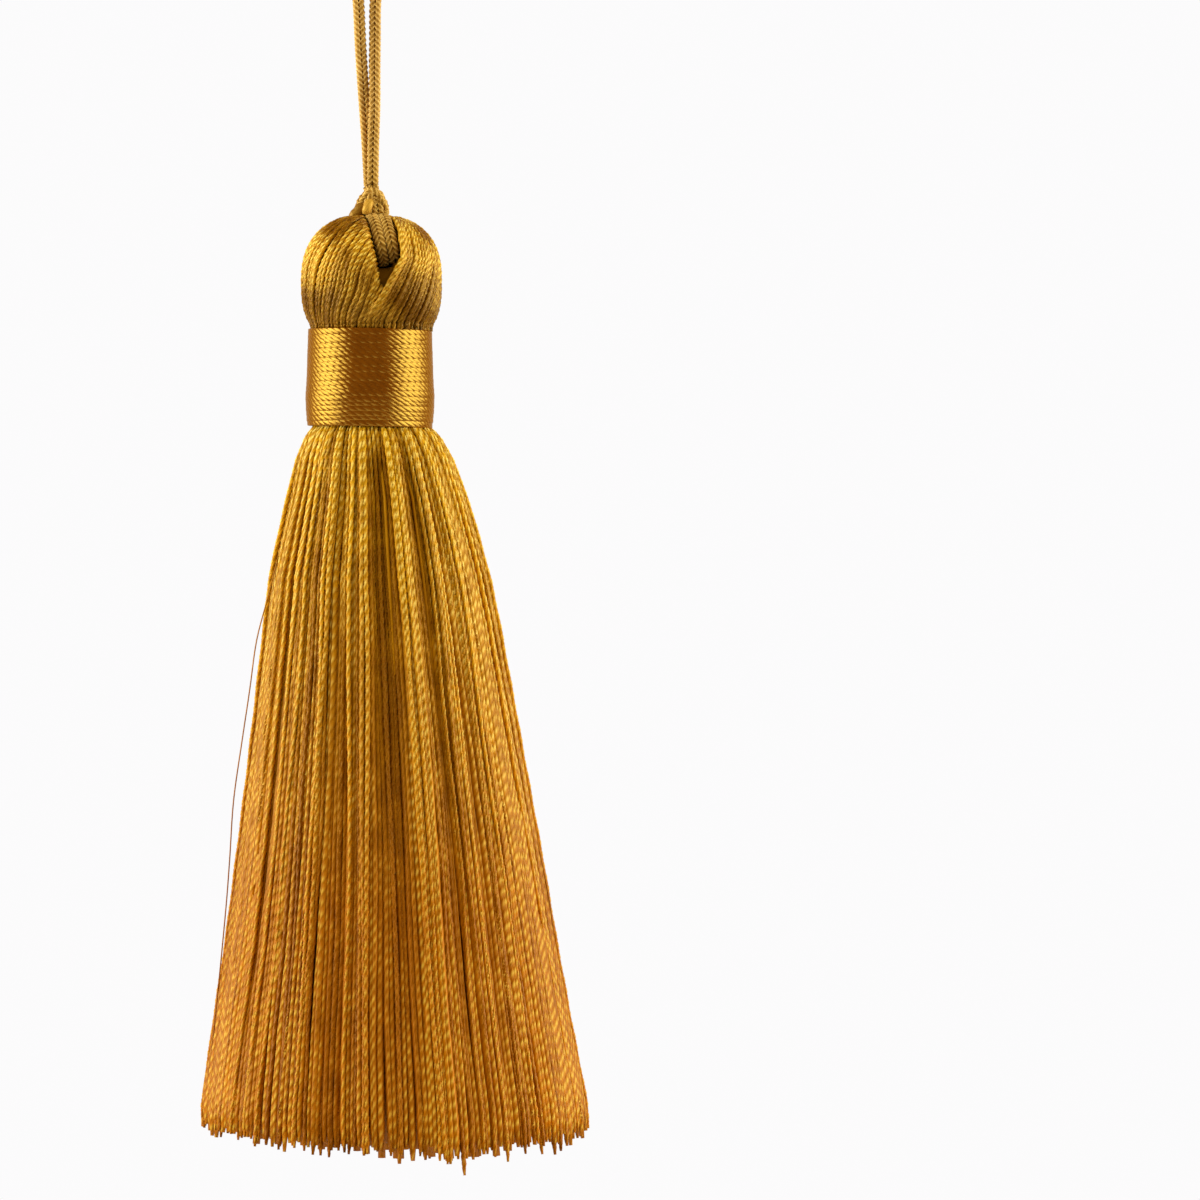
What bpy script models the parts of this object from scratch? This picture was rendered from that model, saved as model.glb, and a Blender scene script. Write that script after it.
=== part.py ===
"""A silk tassel hanging from its cord loop.

One hank of twisted silk yarn is folded over a doubled sling of braided cord. The fold makes the
round head, a wound neck band ties it in, and below the band the yarns fan out as the skirt. The
cord is knotted on top of the head and goes on upwards as a hanging loop.

Metres, +Z up, +Y to the back. The origin is where the loop bears on its hook, and a "drop" is a
depth below that point.
"""

import math
import random

import bmesh
import bpy
from mathutils import Vector
from mathutils.geometry import delaunay_2d_cdt

MM = 0.001
SEED = 7
GAP = 0.3 * MM  # between pieces that touch

# Cord and its hanging loop
CORD_RADIUS = 0.56 * MM
LOOP_POINT_STEP = 1.0 * MM

# Head: a ball with a superellipse profile, its yarns swirling down to the neck
HEAD_X = 0.40 * MM
HEAD_RADIUS = 7.0 * MM
HEAD_HALF_HEIGHT = 7.0 * MM
HEAD_MIDDLE_DROP = 35.2 * MM
HEAD_BOTTOM_DROP = 39.4 * MM
HEAD_ROUNDNESS = 2.5
HEAD_RINGS = 11
HEAD_SWIRL = math.radians(34)
COLUMNS = 64  # round the head and neck; every second one is a yarn ridge
RIDGE_HEIGHT = 0.26 * MM

# Neck and its wound band
NECK_RADIUS = 5.3 * MM
BAND_X = 0.25 * MM
BAND_INNER_RADIUS = NECK_RADIUS + GAP
BAND_TOP_DROP = HEAD_BOTTOM_DROP + GAP
BAND_HEIGHT = 10.0 * MM
BAND_BOTTOM_DROP = BAND_TOP_DROP + BAND_HEIGHT
BAND_TURNS = 16
BAND_TURN_RELIEF = 0.16 * MM
BAND_COLUMNS = 32
# down the band, as a share of its height: outer radius
BAND_RADII = (
    (0.0, 6.12 * MM),
    (0.2, 6.22 * MM),
    (0.4, 6.18 * MM),
    (0.72, 6.42 * MM),
    (0.85, 6.28 * MM),
    (1.0, 6.2 * MM),
)

# Skirt: the sections that its yarns fan out through
#    drop        axis x      half width
SKIRT_SECTIONS = (
    (50.2 * MM, 0.45 * MM, 6.30 * MM),
    (51.9 * MM, 0.65 * MM, 7.20 * MM),
    (55.9 * MM, 0.85 * MM, 8.60 * MM),
    (61.9 * MM, 1.15 * MM, 10.15 * MM),
    (67.9 * MM, 1.40 * MM, 11.40 * MM),
    (82.9 * MM, 1.90 * MM, 13.55 * MM),
    (94.9 * MM, 2.30 * MM, 15.30 * MM),
    (106.9 * MM, 2.45 * MM, 17.25 * MM),
    (118.9 * MM, 2.70 * MM, 19.15 * MM),
    (124.9 * MM, 2.80 * MM, 19.70 * MM),
)
ROOT_DROP, ROOT_X, ROOT_RADIUS = SKIRT_SECTIONS[0]
ROOT_RIM = 0.12 * MM
HEM_RADIUS = 19.2 * MM
# The yarns stand in rings, close together at the outside: ring radius as a share of the
# half width, yarns in the ring
YARN_CIRCLES = (
    (0.970, 88),
    (0.855, 70),
    (0.730, 54),
    (0.595, 39),
    (0.455, 26),
    (0.310, 15),
    (0.160, 8),
)
YARN_SIDES = 3
YARN_STATIONS = (0.0, 0.04, 0.165, 0.44, 1.0)  # shares of a yarn's drop where it bends
YARN_ROOT_RADIUS = 0.19 * MM
YARN_TIP_RADIUS = 0.56 * MM
YARN_LENGTH = 73.6 * MM
YARN_LEFT_SHORTER = 2.0 * MM
YARN_TRIM = 0.8 * MM

# Slits in the head's front and back, seen from the front: x from the head's axis, drop
SLIT_OUTLINE = (
    (-0.75 * MM, 27.6 * MM),
    (2.0 * MM, 27.6 * MM),
    (2.6 * MM, 31.0 * MM),
    (2.75 * MM, 32.9 * MM),
    (1.95 * MM, 34.4 * MM),
    (1.15 * MM, 36.3 * MM),
    (0.55 * MM, 34.9 * MM),
    (0.1 * MM, 32.9 * MM),
    (-0.4 * MM, 30.5 * MM),
)
SLIT_INNER_Y = 1.3 * MM
SLIT_OUTER_Y = 9.0 * MM
# The seat that the knot sinks into
SEAT_DROPS = (27.0 * MM, 28.0 * MM, 29.0 * MM)
SEAT_RADII = (2.45 * MM, 2.3 * MM, 1.7 * MM)

# The sling, front half, from the knot to the middle of the head: x from the head's axis, y, drop
SLING_ROUTE = (
    (0.05 * MM, -0.7 * MM, 27.4 * MM),
    (0.35 * MM, -1.9 * MM, 28.3 * MM),
    (0.75 * MM, -3.5 * MM, 29.6 * MM),
    (1.15 * MM, -4.6 * MM, 31.4 * MM),
    (1.55 * MM, -4.1 * MM, 33.6 * MM),
    (1.6 * MM, -2.1 * MM, 35.3 * MM),
    (1.6 * MM, 0.0 * MM, 35.8 * MM),
)
SLING_PITCH = 1.14 * MM  # between its two cords

# Knot: a tight overhand knot, drawn as a trefoil about an upright axis
KNOT_DROP = 27.3 * MM
KNOT_RADIUS = 0.44 * MM
KNOT_HEIGHT = 0.62 * MM
KNOT_POINTS = 36
KNOT_CORD_RADIUS = 0.54 * MM
KNOT_SIDES = 8
KNOT_NECK_DROP = 25.7 * MM
# The pulled-tight middle of the knot
CORE_DROPS = (KNOT_NECK_DROP, 26.2 * MM, 27.3 * MM, 28.3 * MM)
CORE_RADII = (1.1 * MM, 1.15 * MM, 1.4 * MM, 1.0 * MM)

# The hanging loop, right half, from the knot to the top of the bend: x from the loop's axis, y, drop
LOOP_BASE_DROP = KNOT_NECK_DROP - GAP
LOOP_ROUTE = (
    (0.16 * MM, -0.56 * MM, LOOP_BASE_DROP),
    (0.20 * MM, -0.55 * MM, 23.9 * MM),
    (0.32 * MM, -0.50 * MM, 20.9 * MM),
    (0.50 * MM, -0.32 * MM, 17.4 * MM),
    (0.62 * MM, -0.12 * MM, 14.0 * MM),
    (0.73 * MM, 0.0 * MM, 10.9 * MM),
    (0.86 * MM, 0.0 * MM, 6.9 * MM),
    (1.30 * MM, 0.0 * MM, 4.4 * MM),
    (2.00 * MM, 0.0 * MM, 2.7 * MM),
    (2.28 * MM, 0.0 * MM, 1.35 * MM),
    (1.75 * MM, 0.0 * MM, -0.05 * MM),
    (0.90 * MM, 0.0 * MM, -0.47 * MM),
    (0.0 * MM, 0.0 * MM, -CORD_RADIUS),
)
# The loop's axis: drop, x
LOOP_AXIS = (
    (0.0 * MM, 0.0 * MM),
    (6.9 * MM, -0.06 * MM),
    (12.9 * MM, 0.05 * MM),
    (16.9 * MM, 0.2 * MM),
    (LOOP_BASE_DROP, 0.36 * MM),
)


def clear_scene():
    for obj in list(bpy.data.objects):
        bpy.data.objects.remove(obj)


def silk(name, colour, roughness):
    """A Principled silk in one colour."""
    material = bpy.data.materials.new(name)
    material.use_nodes = True
    shader = material.node_tree.nodes["Principled BSDF"]
    shader.inputs["Base Color"].default_value = (*colour, 1.0)
    shader.inputs["Roughness"].default_value = roughness
    shader.inputs["Metallic"].default_value = 0.0
    return material


def add_object(name, mesh, material):
    obj = bpy.data.objects.new(name, mesh)
    bpy.context.scene.collection.objects.link(obj)
    obj.data.materials.append(material)
    return obj


def add_cutter(name, mesh):
    cutter = bpy.data.objects.new(name, mesh)
    bpy.context.scene.collection.objects.link(cutter)
    cutter.hide_render = True
    cutter.display_type = "WIRE"
    return cutter


def boolean(obj, other, operation, use_self=False):
    modifier = obj.modifiers.new(f"{operation.lower()} {other.name}", "BOOLEAN")
    modifier.operation = operation
    modifier.solver = "EXACT"
    modifier.use_self = use_self
    modifier.object = other


def mesh_from(name, points, faces):
    mesh = bpy.data.meshes.new(name)
    mesh.from_pydata(points, [], faces)
    mesh.validate()
    return mesh


def table_value(rows, key, column=1):
    """A column of a table, read at key between its rows, whose first column rises."""
    if key <= rows[0][0]:
        return rows[0][column]
    for before, after in zip(rows, rows[1:]):
        if key <= after[0]:
            share = (key - before[0]) / (after[0] - before[0])
            return before[column] + share * (after[column] - before[column])
    return rows[-1][column]


def smooth_curve(points, step, cyclic=False):
    """Points about a step apart on the Catmull-Rom curve through the given points."""
    points = [Vector(p) for p in points]
    count = len(points)
    ends = points if cyclic else [2 * points[0] - points[1], *points, 2 * points[-1] - points[-2]]
    line = []
    for i in range(count if cyclic else count - 1):
        if cyclic:
            a, b, c, d = (points[(i + k) % count] for k in (-1, 0, 1, 2))
        else:
            a, b, c, d = ends[i : i + 4]
        pieces = max(1, round((c - b).length / step))
        for k in range(pieces):
            t = k / pieces
            line.append(
                0.5 * (2 * b + (c - a) * t + (2 * a - 5 * b + 4 * c - d) * t**2 + (3 * b - a - 3 * c + d) * t**3)
            )
    return line if cyclic else [*line, points[-1]]


def round_section(radius, sides):
    return [
        (radius * math.cos(2 * math.pi * k / sides), radius * math.sin(2 * math.pi * k / sides))
        for k in range(sides)
    ]


def oblong_section(half_width, half_height):
    """An oblong with its corners cut off, for the passage of two cords side by side."""
    inner_x, inner_y = half_width - 0.5 * half_height, 0.5 * half_height
    corner = ((half_width, inner_y), (inner_x, half_height))
    turned_corner = tuple((-x, y) for x, y in reversed(corner))
    upper = corner + turned_corner
    return list(upper) + [(-x, -y) for x, y in upper]


def tube(line, section, cyclic=False):
    """(points, faces) of a section swept along a line, closed by caps or, if cyclic, on itself."""
    count = len(line)
    sides = len(section)
    points, faces = [], []
    side = Vector((1, 0, 0))
    for i, centre in enumerate(line):
        if cyclic:
            along = (line[(i + 1) % count] - line[i - 1]).normalized()
        else:
            along = (line[min(i + 1, count - 1)] - line[max(i - 1, 0)]).normalized()
        side = (side - side.dot(along) * along).normalized()
        up = along.cross(side)
        points += [centre + a * side + b * up for a, b in section]
    for i in range(count if cyclic else count - 1):
        here, there = i * sides, (i + 1) % count * sides
        for k in range(sides):
            after = (k + 1) % sides
            faces.append((here + k, here + after, there + after, there + k))
    if not cyclic:
        faces.append(tuple(reversed(range(sides))))
        faces.append(tuple(range((count - 1) * sides, count * sides)))
    return points, faces


def turned(x, drops, radii, sides):
    """(points, faces) of a solid turned about an upright axis at x, with a radius at each drop."""
    points, faces = [], []
    for drop, radius in zip(drops, radii):
        for k in range(sides):
            angle = 2 * math.pi * k / sides
            points.append((x + radius * math.cos(angle), radius * math.sin(angle), -drop))
    for i in range(len(drops) - 1):
        here, there = i * sides, (i + 1) * sides
        for k in range(sides):
            after = (k + 1) % sides
            faces.append((here + k, there + k, there + after, here + after))
    faces.append(tuple(range(sides)))
    faces.append(tuple(reversed(range((len(drops) - 1) * sides, len(drops) * sides))))
    return points, faces


def joined(shapes):
    """Several (points, faces) as one."""
    points, faces = [], []
    for some_points, some_faces in shapes:
        start = len(points)
        points += some_points
        faces += [tuple(start + i for i in face) for face in some_faces]
    return points, faces


# ---- the hank: head, neck and skirt ----


def ring(x, drop, radius, ridge=0.0, turn=0.0):
    """One ring of COLUMNS points round the hank's axis, alternate ones raised by a ridge."""
    points = []
    for column in range(COLUMNS):
        angle = 2 * math.pi * column / COLUMNS + turn
        reach = radius + (ridge if column % 2 else 0.0)
        points.append((x + reach * math.cos(angle), reach * math.sin(angle), -drop))
    return points


def head_rings():
    """The ball's rings from just off the pole down to where it meets the band."""
    lowest = (HEAD_MIDDLE_DROP - HEAD_BOTTOM_DROP) / HEAD_HALF_HEIGHT
    last = math.pi - math.acos(abs(lowest) ** (HEAD_ROUNDNESS / 2))
    rings = []
    for i in range(1, HEAD_RINGS + 1):
        tilt = last * i / HEAD_RINGS
        rise = math.copysign(abs(math.cos(tilt)) ** (2 / HEAD_ROUNDNESS), math.cos(tilt))
        radius = HEAD_RADIUS * math.sin(tilt) ** (2 / HEAD_ROUNDNESS)
        drop = HEAD_MIDDLE_DROP - HEAD_HALF_HEIGHT * rise
        ridge = RIDGE_HEIGHT * min(1.0, radius / (0.5 * HEAD_RADIUS))
        rings.append(ring(HEAD_X, drop, radius - ridge / 2, ridge, -HEAD_SWIRL * tilt / last))
    return rings


def neck_rings():
    """The tied-in neck, and the thin collar below the band that the yarns leave."""
    turn = -HEAD_SWIRL
    below_band = BAND_BOTTOM_DROP + GAP
    return [
        ring(BAND_X, HEAD_BOTTOM_DROP, NECK_RADIUS, 0.0, turn),
        ring(BAND_X, below_band, NECK_RADIUS, 0.0, turn),
        ring(ROOT_X, below_band, ROOT_RADIUS + ROOT_RIM, 0.0, turn),
        ring(ROOT_X, ROOT_DROP, ROOT_RADIUS + ROOT_RIM, 0.0, turn),
    ]


def yarn_roots():
    """Where the yarns leave the collar: places (u, v) in rings on a disc of radius 1."""
    roots = []
    for i, (radius, count) in enumerate(YARN_CIRCLES):
        for k in range(count):
            angle = 2 * math.pi * (k + 0.5 * (i % 2)) / count
            roots.append((radius * math.cos(angle), radius * math.sin(angle)))
    return roots


def yarn_tip_drop(u, v, rng):
    """The yarns are one length, trimmed a little shorter on the left and never quite even."""
    length = YARN_LENGTH - YARN_LEFT_SHORTER * max(0.0, -u) ** 2 + rng.uniform(-1, 1) * YARN_TRIM
    spread = HEM_RADIUS * math.hypot(u, v)
    return BAND_BOTTOM_DROP + math.sqrt(length**2 - spread**2)


def yarn_rings(root, rng):
    """A yarn's cross-sections, each of YARN_SIDES points, from the collar to its cut tip."""
    turn = rng.uniform(0, 2 * math.pi)
    tip_drop = yarn_tip_drop(*root, rng)
    rings = []
    for share in YARN_STATIONS:
        drop = ROOT_DROP + share * (tip_drop - ROOT_DROP)
        half_width = table_value(SKIRT_SECTIONS, drop, 2)
        radius = YARN_ROOT_RADIUS + (YARN_TIP_RADIUS - YARN_ROOT_RADIUS) * (
            (half_width - ROOT_RADIUS) / (HEM_RADIUS - ROOT_RADIUS)
        )
        x = table_value(SKIRT_SECTIONS, drop) + root[0] * half_width
        y = root[1] * half_width
        corners = (turn + 2 * math.pi * side / YARN_SIDES for side in range(YARN_SIDES))
        rings.append([(x + radius * math.cos(a), y + radius * math.sin(a), -drop) for a in corners])
    return rings


def collar_face(rim, roots):
    """Triangles that fill the collar's lower face between its rim and the yarns' root sections.

    Returns them as indices into rim + all root points; the root sections themselves stay open.
    """
    flat = [Vector(p[:2]) / MM for p in rim] + [Vector(p[:2]) / MM for section in roots for p in section]
    loops = [list(range(len(rim)))]
    for i in range(len(roots)):
        start = len(rim) + i * YARN_SIDES
        loops.append(list(range(start, start + YARN_SIDES)))
    edges = [(loop[i - 1], loop[i]) for loop in loops for i in range(len(loop))]
    _, _, faces, sources, _, _ = delaunay_2d_cdt(flat, edges, [], 1, 1e-7)
    if any(len(source) != 1 for source in sources):
        raise ValueError("two yarn roots touch")
    sections = {frozenset(loop) for loop in loops[1:]}
    named = [tuple(sources[i][0] for i in face) for face in faces]
    return [face for face in named if frozenset(face) not in sections]


def build_hank(material):
    """Head, neck, collar and all the yarns as one closed solid."""
    rng = random.Random(SEED)
    rings = head_rings() + neck_rings()
    points = [(HEAD_X, 0.0, -(HEAD_MIDDLE_DROP - HEAD_HALF_HEIGHT))]
    faces = []
    for some_ring in rings:
        points += some_ring
    for k in range(COLUMNS):
        after = (k + 1) % COLUMNS
        faces.append((0, 1 + k, 1 + after))
        for i in range(len(rings) - 1):
            here, there = 1 + i * COLUMNS, 1 + (i + 1) * COLUMNS
            faces.append((here + k, there + k, there + after, here + after))
    rim_start = 1 + (len(rings) - 1) * COLUMNS

    yarns = [yarn_rings(root, rng) for root in yarn_roots()]
    root_start = len(points)
    points += [p for yarn in yarns for p in yarn[0]]
    for face in collar_face(rings[-1], [yarn[0] for yarn in yarns]):
        real = [rim_start + i if i < COLUMNS else root_start + i - COLUMNS for i in face]
        faces.append(tuple(reversed(real)))
    for i, yarn in enumerate(yarns):
        above = root_start + i * YARN_SIDES
        for section in yarn[1:]:
            below = len(points)
            points += section
            for k in range(YARN_SIDES):
                after = (k + 1) % YARN_SIDES
                faces.append((above + k, below + k, below + after, above + after))
            above = below
        faces.append(tuple(reversed(range(above, above + YARN_SIDES))))
    hank = add_object("hank", mesh_from("hank", points, faces), material)
    return hank


def build_slit_cutter(name, side):
    """A prism of the slit's outline: side -1 cuts the head's front and +1 its back."""
    across = [Vector((HEAD_X + x, 0, -drop)) for x, drop in SLIT_OUTLINE]
    inner = [p + Vector((0, side * SLIT_INNER_Y, 0)) for p in across]
    outer = [p + Vector((0, side * SLIT_OUTER_Y, 0)) for p in across]
    count = len(across)
    faces = [tuple(range(count)), tuple(reversed(range(count, 2 * count)))]
    for i in range(count):
        after = (i + 1) % count
        faces.append((i, count + i, count + after, after))
    mesh = mesh_from(name, inner + outer, faces)
    face_outwards(mesh)
    return add_cutter(name, mesh)


def face_outwards(mesh):
    work = bmesh.new()
    work.from_mesh(mesh)
    bmesh.ops.recalc_face_normals(work, faces=work.faces)
    work.to_mesh(mesh)
    work.free()


def build_seat():
    """The hollow in the head's top that the knot sinks into."""
    mesh = mesh_from("knot_seat", *turned(HEAD_X, SEAT_DROPS, SEAT_RADII, 20))
    face_outwards(mesh)
    return add_cutter("knot_seat", mesh)


# ---- the sling and knot, made from the same cord ----


def sling_line(offset, step):
    """One cord of the sling: down the front slit, under the fold of yarn and up the back slit."""
    front = [Vector((HEAD_X + x + offset, y, -drop)) for x, y, drop in SLING_ROUTE]
    back = [Vector((p.x, -p.y, p.z)) for p in reversed(front[:-1])]
    return smooth_curve(front + back, step)


def build_sling_passage():
    """One passage through the head for both cords of the sling."""
    section = oblong_section(SLING_PITCH / 2 + CORD_RADIUS + GAP, CORD_RADIUS + GAP)
    points, faces = tube(sling_line(0.0, 0.9 * MM), section)
    mesh = mesh_from("sling_passage", points, faces)
    face_outwards(mesh)
    return add_cutter("sling_passage", mesh)


def knot_line():
    """A trefoil about the upright axis, as a tight overhand knot shows it."""
    line = []
    for i in range(KNOT_POINTS):
        t = 2 * math.pi * i / KNOT_POINTS
        x = KNOT_RADIUS * (math.sin(t) + 2 * math.sin(2 * t))
        y = KNOT_RADIUS * (math.cos(t) - 2 * math.cos(2 * t))
        line.append(Vector((HEAD_X + x, y, -KNOT_DROP - KNOT_HEIGHT * math.sin(3 * t))))
    return line


def build_knot(material):
    """The knot, its pulled-tight middle and the sling below, as one closed solid."""
    shapes = [tube(knot_line(), round_section(KNOT_CORD_RADIUS, KNOT_SIDES), cyclic=True)]
    for offset in (-SLING_PITCH / 2, SLING_PITCH / 2):
        shapes.append(tube(sling_line(offset, 0.9 * MM), round_section(CORD_RADIUS, KNOT_SIDES)))
    points, faces = joined(shapes)
    mesh = mesh_from("knot", points, faces)
    face_outwards(mesh)
    knot = add_object("knot", mesh, material)
    core = mesh_from("knot_core", *turned(HEAD_X, CORE_DROPS, CORE_RADII, 16))
    face_outwards(core)
    boolean(knot, add_cutter("knot_core", core), "UNION", use_self=True)
    return knot


# ---- the neck band and the loop ----


def build_band(material):
    """The wound band: a turned ring whose outside rises and falls once for each turn of thread."""
    outer = []
    for i in range(2 * BAND_TURNS + 1):
        share = i / (2 * BAND_TURNS)
        radius = table_value(BAND_RADII, share) - (BAND_TURN_RELIEF if i % 2 == 0 else 0.0)
        outer.append((radius, BAND_TOP_DROP + share * BAND_HEIGHT))
    profile = outer + [(BAND_INNER_RADIUS, BAND_BOTTOM_DROP), (BAND_INNER_RADIUS, BAND_TOP_DROP)]
    points, faces = [], []
    for column in range(BAND_COLUMNS):
        angle = 2 * math.pi * column / BAND_COLUMNS
        points += [(BAND_X + r * math.cos(angle), r * math.sin(angle), -drop) for r, drop in profile]
    for column in range(BAND_COLUMNS):
        here, there = column * len(profile), (column + 1) % BAND_COLUMNS * len(profile)
        for i in range(len(profile)):
            after = (i + 1) % len(profile)
            faces.append((here + i, here + after, there + after, there + i))
    mesh = mesh_from("neck_band", points, faces)
    face_outwards(mesh)
    return add_object("neck_band", mesh, material)


def loop_line():
    """The loop's centreline: up from the knot on the right, over the hook and down on the left."""
    right, left = [], []
    for x, y, drop in LOOP_ROUTE:
        axis = table_value(LOOP_AXIS, drop)
        right.append(Vector((axis + x, y, -drop)))
        left.append(Vector((axis - x, -y, -drop)))
    return smooth_curve(right + left[-2::-1], LOOP_POINT_STEP)


def build_loop(material):
    """The hanging loop, a plain round tube on the cord's centreline."""
    curve = bpy.data.curves.new("hanging_loop", "CURVE")
    curve.dimensions = "3D"
    curve.bevel_depth = CORD_RADIUS
    curve.bevel_resolution = 2
    curve.use_fill_caps = True
    line = loop_line()
    spline = curve.splines.new("POLY")
    spline.points.add(len(line) - 1)
    for point, place in zip(spline.points, line):
        point.co = (*place, 1.0)
    return add_object("hanging_loop", curve, material)


def main():
    clear_scene()
    yarn_silk = silk("yarn_silk", (0.55, 0.30, 0.035), 0.35)
    band_silk = silk("band_silk", (0.62, 0.36, 0.05), 0.25)
    cord_silk = silk("cord_silk", (0.42, 0.23, 0.05), 0.45)
    hank = build_hank(yarn_silk)
    for name, side in (("front_slit", -1), ("back_slit", 1)):
        boolean(hank, build_slit_cutter(name, side), "DIFFERENCE")
    boolean(hank, build_sling_passage(), "DIFFERENCE")
    boolean(hank, build_seat(), "DIFFERENCE")
    build_knot(cord_silk)
    band = build_band(band_silk)
    build_loop(cord_silk)
    for obj in (hank, band):
        obj.data.shade_smooth()
        obj.data.set_sharp_from_angle(angle=math.radians(50))


main()
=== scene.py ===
"""The look of the silk tassel: every visible yarn, the wound band, the braided cord and its knot.

+Z is up, the front faces -Y and the origin is the inside of the loop's top bend, as in the CAD. A
"drop" is a depth below that point. The tassel and the camera are in millimetres here, and become
metres as they are built. The lights and the floor are in metres.
"""

import math

import bpy
import numpy as np
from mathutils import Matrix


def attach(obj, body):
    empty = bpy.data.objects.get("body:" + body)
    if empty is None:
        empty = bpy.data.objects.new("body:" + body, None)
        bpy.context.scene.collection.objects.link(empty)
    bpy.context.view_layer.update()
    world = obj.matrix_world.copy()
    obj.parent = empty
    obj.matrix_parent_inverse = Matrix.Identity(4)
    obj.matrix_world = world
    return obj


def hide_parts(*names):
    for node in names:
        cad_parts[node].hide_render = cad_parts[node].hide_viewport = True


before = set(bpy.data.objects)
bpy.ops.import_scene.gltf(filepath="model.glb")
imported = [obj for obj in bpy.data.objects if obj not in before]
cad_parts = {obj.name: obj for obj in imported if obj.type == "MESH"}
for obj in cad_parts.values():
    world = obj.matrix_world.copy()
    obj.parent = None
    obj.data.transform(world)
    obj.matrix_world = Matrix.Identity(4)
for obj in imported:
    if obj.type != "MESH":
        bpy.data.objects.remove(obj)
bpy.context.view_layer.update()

MM = 0.001
TAU = 2 * math.pi
DEG = math.pi / 180

# ---- sizes shared with the CAD ----

CORD_R = 0.56
HEAD_X, HEAD_R, HEAD_H, HEAD_MID, HEAD_POWER = 0.40, 7.15, 7.0, 35.2, 0.8
HEAD_BOTTOM = 39.4
BAND_X, BAND_TOP, BAND_BOTTOM = 0.25, 39.7, 49.7
# drop, axis x, half width
SKIRT = np.array((
    (48.9, 0.35, 5.60),
    (49.8, 0.40, 6.00),
    (50.4, 0.48, 6.60),
    (50.9, 0.55, 6.90),
    (52.9, 0.70, 7.85),
    (56.9, 0.95, 9.00),
    (60.9, 1.10, 10.05),
    (64.9, 1.22, 11.00),
    (68.9, 1.42, 11.65),
    (76.9, 1.70, 12.85),
    (84.9, 1.95, 14.05),
    (92.9, 2.18, 15.30),
    (100.9, 2.35, 16.50),
    (108.9, 2.47, 17.85),
    (116.9, 2.68, 19.20),
    (126.0, 2.85, 20.00),
))

rng = np.random.default_rng(11)

# ---- lines and points ----


def table(rows, key, column=1):
    """A column of a table, read between its rows at a key, which is in the first column."""
    return np.interp(key, rows[:, 0], rows[:, column])


def shares(count):
    """Even steps from 0 to 1, in an array of one row."""
    return np.linspace(0, 1, count)[None]


def spans(lines):
    """The distances between neighbouring points, on one line or on many."""
    return np.linalg.norm(np.diff(lines, axis=-2), axis=-1)


def unit(v):
    return v / np.maximum(np.linalg.norm(v, axis=-1, keepdims=True), 1e-12)


def outward(angle):
    """The level direction at each angle, as (count, 3)."""
    return np.stack((np.cos(angle), np.sin(angle), np.zeros(len(angle))), axis=1)


def round_axis(axis_x, reach, angle, drop):
    """Points at a reach and an angle from an upright axis."""
    x, y = axis_x + reach * np.cos(angle), reach * np.sin(angle)
    return np.stack(np.broadcast_arrays(x, y, -drop), axis=-1)


def circle(count):
    """Points round a unit circle, as (count, 2)."""
    turn = np.arange(count) * TAU / count
    return np.stack((np.cos(turn), np.sin(turn)), axis=1)


def catmull(points, step):
    """Points about a step apart on the Catmull-Rom curve through the given points."""
    p = np.asarray(points, float)
    p = np.vstack((2 * p[0] - p[1], p, 2 * p[-1] - p[-2]))
    out = []
    for a, b, c, d in zip(p, p[1:], p[2:], p[3:]):
        n = max(1, round(float(np.linalg.norm(c - b)) / step))
        t = np.arange(n)[:, None] / n
        square = 2 * a - 5 * b + 4 * c - d
        cube = 3 * b - a - 3 * c + d
        out.append(0.5 * (2 * b + (c - a) * t + square * t**2 + cube * t**3))
    return np.vstack((*out, p[-2]))


def resample(line, count):
    """The same line with count points at equal distances."""
    arc = np.concatenate(([0], np.cumsum(spans(line))))
    at = np.linspace(0, arc[-1], count)
    return np.stack([np.interp(at, arc, line[:, i]) for i in range(3)], axis=1)


def transported(line, first):
    """A side vector for each point of one line, turned as little as the line allows."""
    side = np.array(first, float)
    out = np.empty_like(line)
    for i, along in enumerate(unit(np.gradient(line, axis=0))):
        side = side - side.dot(along) * along
        side /= np.linalg.norm(side)
        out[i] = side
    return out


# ---- meshes of yarns ----

PLIES = 3
ROUND = circle(2 * PLIES)
PLIED = ROUND * np.array((0.88, 1.0) * PLIES)[:, None]  # with grooves between the plies
SQUARE = np.array(((1.0, 0.0), (0.0, 1.0), (-1.0, 0.0), (0.0, -1.0)))
SATIN = circle(16)
DASH_JITTER = 0.07  # of the way round a yarn, between the dashes of one and the next


def corners(closed):
    """The corner values of each quad, from an (m, n, sides + 1) array whose last column closes the ring."""
    here, there = closed[:, :, :-1], closed[:, :, 1:]
    return np.stack((here[:, :-1], there[:, :-1], there[:, 1:], here[:, 1:]), axis=-1)


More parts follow.
